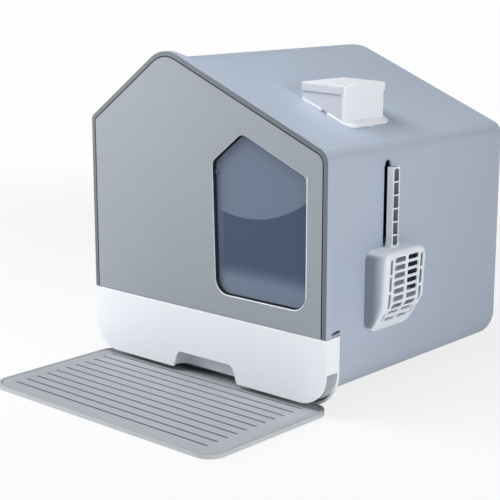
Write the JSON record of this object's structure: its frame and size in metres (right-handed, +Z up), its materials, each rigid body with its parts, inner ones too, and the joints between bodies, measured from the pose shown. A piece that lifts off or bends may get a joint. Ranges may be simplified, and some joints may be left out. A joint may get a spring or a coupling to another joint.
{
  "type": "drawer litter box",
  "caption": "House-shaped covered litter box with a pull-out tray, swinging entrance flap, step mat, roof deodoriser and a scoop hung on the side.",
  "frame": {"origin": "on the floor, at the centre of the middle foot, under the middle of the house", "axes": "+Z up, the front panel and drawer face -Y, +X to the right seen from the front"},
  "size_m": [0.5199, 0.6877, 0.5084],
  "materials": {
    "shell_plastic": "satin",
    "frame_plastic": "satin",
    "panel_plastic": "matte",
    "dark_plastic": "matte",
    "flap_plastic": "tinted clear",
    "white_plastic": "satin",
    "light_plastic": "satin",
    "mat_plastic": "matte",
    "rubber": "matte",
    "carbon": "matte",
    "screw_steel": "satin"
  },
  "bodies": {
    "house": {"body_shell": "shell_plastic", "rear_panel": "shell_plastic", "rear_screws": "screw_steel", "front_frame": "frame_plastic", "front_panel": "panel_plastic", "panel_clips": "dark_plastic", "base_rim": "shell_plastic", "base_sill": "frame_plastic", "base_plinth": "frame_plastic", "rubber_feet": "rubber", "tray_runner_left": "light_plastic", "tray_runner_right": "light_plastic", "litter_guard": "panel_plastic", "deodoriser_flange": "white_plastic", "deodoriser_box": "white_plastic", "carbon_block": "carbon", "scoop_holder": "dark_plastic"},
    "drawer": {"drawer_front": "white_plastic", "grip_pocket": "light_plastic", "litter_tray": "white_plastic", "tray_screws": "screw_steel"},
    "flap": {"entry_flap": "flap_plastic"},
    "mat": {"mat_tray": "mat_plastic", "mat_insert": "mat_plastic", "mat_pads": "rubber"},
    "lid": {"deodoriser_lid": "white_plastic"},
    "scoop": {"scoop": "light_plastic"}
  },
  "joints": [
    {"name": "drawer_slide", "type": "slide", "parent": "house", "child": "drawer", "axis": [0, -1, 0], "range_m": [0, 0.37]},
    {"name": "flap_hinge", "type": "hinge", "parent": "house", "child": "flap", "pos_m": [0.1135, -0.22075, 0.335], "axis": [1, 0, 0], "range_deg": [-80, 80]},
    {"name": "mat_pull_off", "type": "slide", "parent": "house", "child": "mat", "axis": [0, -1, 0], "range_m": [0, 0.06]},
    {"name": "lid_lift_off", "type": "slide", "parent": "house", "child": "lid", "axis": [0, 0, 1], "range_m": [0, 0.04]},
    {"name": "scoop_lift", "type": "slide", "parent": "house", "child": "scoop", "axis": [0, 0, 1], "range_m": [0, 0.1]}
  ]
}
